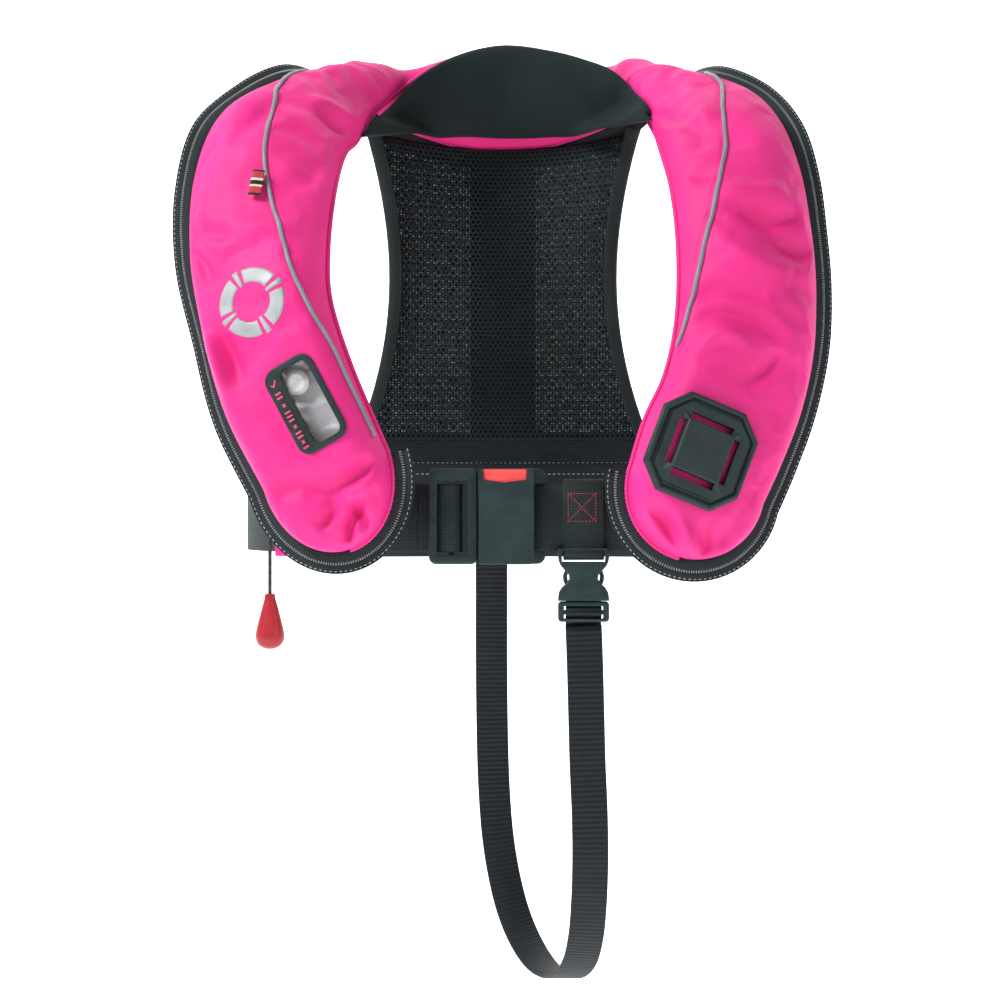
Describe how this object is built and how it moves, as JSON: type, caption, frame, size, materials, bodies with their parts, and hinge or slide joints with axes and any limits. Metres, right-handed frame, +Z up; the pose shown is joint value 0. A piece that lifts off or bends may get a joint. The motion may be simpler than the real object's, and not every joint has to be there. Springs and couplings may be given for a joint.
{
  "type": "inflatable life jacket",
  "caption": "Belt-worn inflatable life jacket: zipped horseshoe cover, mesh back panel, push-button waist buckle, crotch strap with side-release buckle, pull handle and lashing tab.",
  "frame": {"origin": "neck rest: under the middle of the collar's inner face, level with the collar's lower edge at the back of the neck, where a wearer's neck or a hanger carries the jacket", "axes": "+Z up, +X to the right of someone facing the jacket's front, the front faces -Y"},
  "size_m": [0.4615, 0.3202, 0.705],
  "materials": {
    "cover_fabric": "matte coated polyester",
    "neoprene": "soft knit-faced foam",
    "mesh_fabric": "open spacer mesh",
    "webbing": "woven polyester webbing",
    "zip_tape": "woven tape",
    "zip_coil": "coil teeth",
    "piping": "reflective",
    "label": "woven label",
    "black_plastic": "moulded",
    "red_plastic": "moulded",
    "handle_rubber": "satin",
    "window_clear": "clear film",
    "white_plastic": "moulded",
    "steel": "plated",
    "slider_metal": "black",
    "bladder_fabric": "coated nylon",
    "whistle_plastic": "moulded"
  },
  "bodies": {
    "jacket": {"back_belt_sleeve": "webbing", "back_binding_left": "webbing", "back_binding_right": "webbing", "back_lower_band": "mesh_fabric", "back_mesh_panel": "mesh_fabric", "back_webbing": "webbing", "belt_tunnel_left": "cover_fabric", "belt_tunnel_right": "cover_fabric", "belt_wing_left": "cover_fabric", "belt_wing_right": "cover_fabric", "bladder": "bladder_fabric", "buckle_housing_front": "black_plastic", "buckle_housing_rear": "black_plastic", "button_spring": "steel", "co2_cylinder": "steel", "collar_pad": "neoprene", "cord_guide": "zip_tape", "cover_back_left": "cover_fabric", "cover_back_neck": "cover_fabric", "cover_back_right": "cover_fabric", "cover_front_left": "cover_fabric", "cover_front_neck": "cover_fabric", "cover_front_right": "cover_fabric", "crotch_strap": "webbing", "crotch_tab": "webbing", "firing_cap": "white_plastic", "inflator_body": "white_plastic", "lash_tab": "black_plastic", "oral_tube": "bladder_fabric", "oral_tube_cap": "black_plastic", "piping_left": "piping", "piping_right": "piping", "side_buckle_socket": "black_plastic", "side_label": "label", "waist_belt_front_left": "webbing", "waist_belt_left": "webbing", "waist_belt_right": "webbing", "whistle": "whistle_plastic", "window_frame": "black_plastic", "window_pane": "window_clear", "zip_coil": "zip_coil", "zip_tape_back": "zip_tape", "zip_tape_front": "zip_tape"},
    "tongue": {"buckle_tongue": "black_plastic"},
    "button": {"release_button": "red_plastic"},
    "plug": {"side_buckle_plug": "black_plastic"},
    "plug_arm_left": {"side_buckle_arm_left": "black_plastic"},
    "plug_arm_right": {"side_buckle_arm_right": "black_plastic"},
    "handle": {"pull_cord": "zip_tape", "pull_handle": "handle_rubber"},
    "lever": {"firing_lever": "red_plastic"},
    "slider": {"zip_slider": "slider_metal"},
    "pull_tab": {"zip_pull_tab": "black_plastic"}
  },
  "joints": [
    {"name": "tongue_slide", "type": "slide", "parent": "jacket", "child": "tongue", "axis": [-1, 0, 0], "range_m": [0, 0.025], "deforming": ["waist_belt_front_left"]},
    {"name": "button_press", "type": "slide", "parent": "jacket", "child": "button", "axis": [0, 0, -1], "range_m": [0, 0.004], "stiffness_N_per_m": 900, "springref_m": -0.001, "deforming": ["button_spring"]},
    {"name": "plug_slide", "type": "slide", "parent": "jacket", "child": "plug", "axis": [0, 0, -1], "range_m": [0, 0.032], "deforming": ["crotch_strap"]},
    {"name": "arm_squeeze_left", "type": "hinge", "parent": "plug", "child": "plug_arm_left", "pos_m": [0.0452, -0.1962, -0.3525], "axis": [0, 1, 0], "range_deg": [0, 6], "stiffness_Nm_per_rad": 0.05, "springref_deg": -2.86},
    {"name": "arm_squeeze_right", "type": "hinge", "parent": "plug", "child": "plug_arm_right", "pos_m": [0.0648, -0.1962, -0.3525], "axis": [0, -1, 0], "range_deg": [0, 6], "stiffness_Nm_per_rad": 0.05, "springref_deg": -2.86},
    {"name": "handle_pull", "type": "slide", "parent": "jacket", "child": "handle", "axis": [0, 0, -1], "range_m": [0, 0.03]},
    {"name": "lever_turn", "type": "hinge", "parent": "jacket", "child": "lever", "pos_m": [-0.12917, -0.21998, -0.23175], "axis": [0.2371, 0.9714, 0.0139], "range_deg": [0, 57.3]},
    {"name": "slider_run", "type": "hinge", "parent": "jacket", "child": "slider", "pos_m": [0, -0.018, 0.0062], "axis": [0, 0.3201, 0.9474], "range_deg": [-20, 20]},
    {"name": "pull_tab_flip", "type": "hinge", "parent": "slider", "child": "pull_tab", "pos_m": [0, 0.05023, -0.01248], "axis": [1, 0, 0], "range_deg": [0, 110]}
  ],
  "couplings": [
    {"joint": "lever_turn", "follows": "handle_pull", "rad_per_m": 33.3},
    {"joint": "arm_squeeze_right", "follows": "arm_squeeze_left", "ratio": 1}
  ]
}
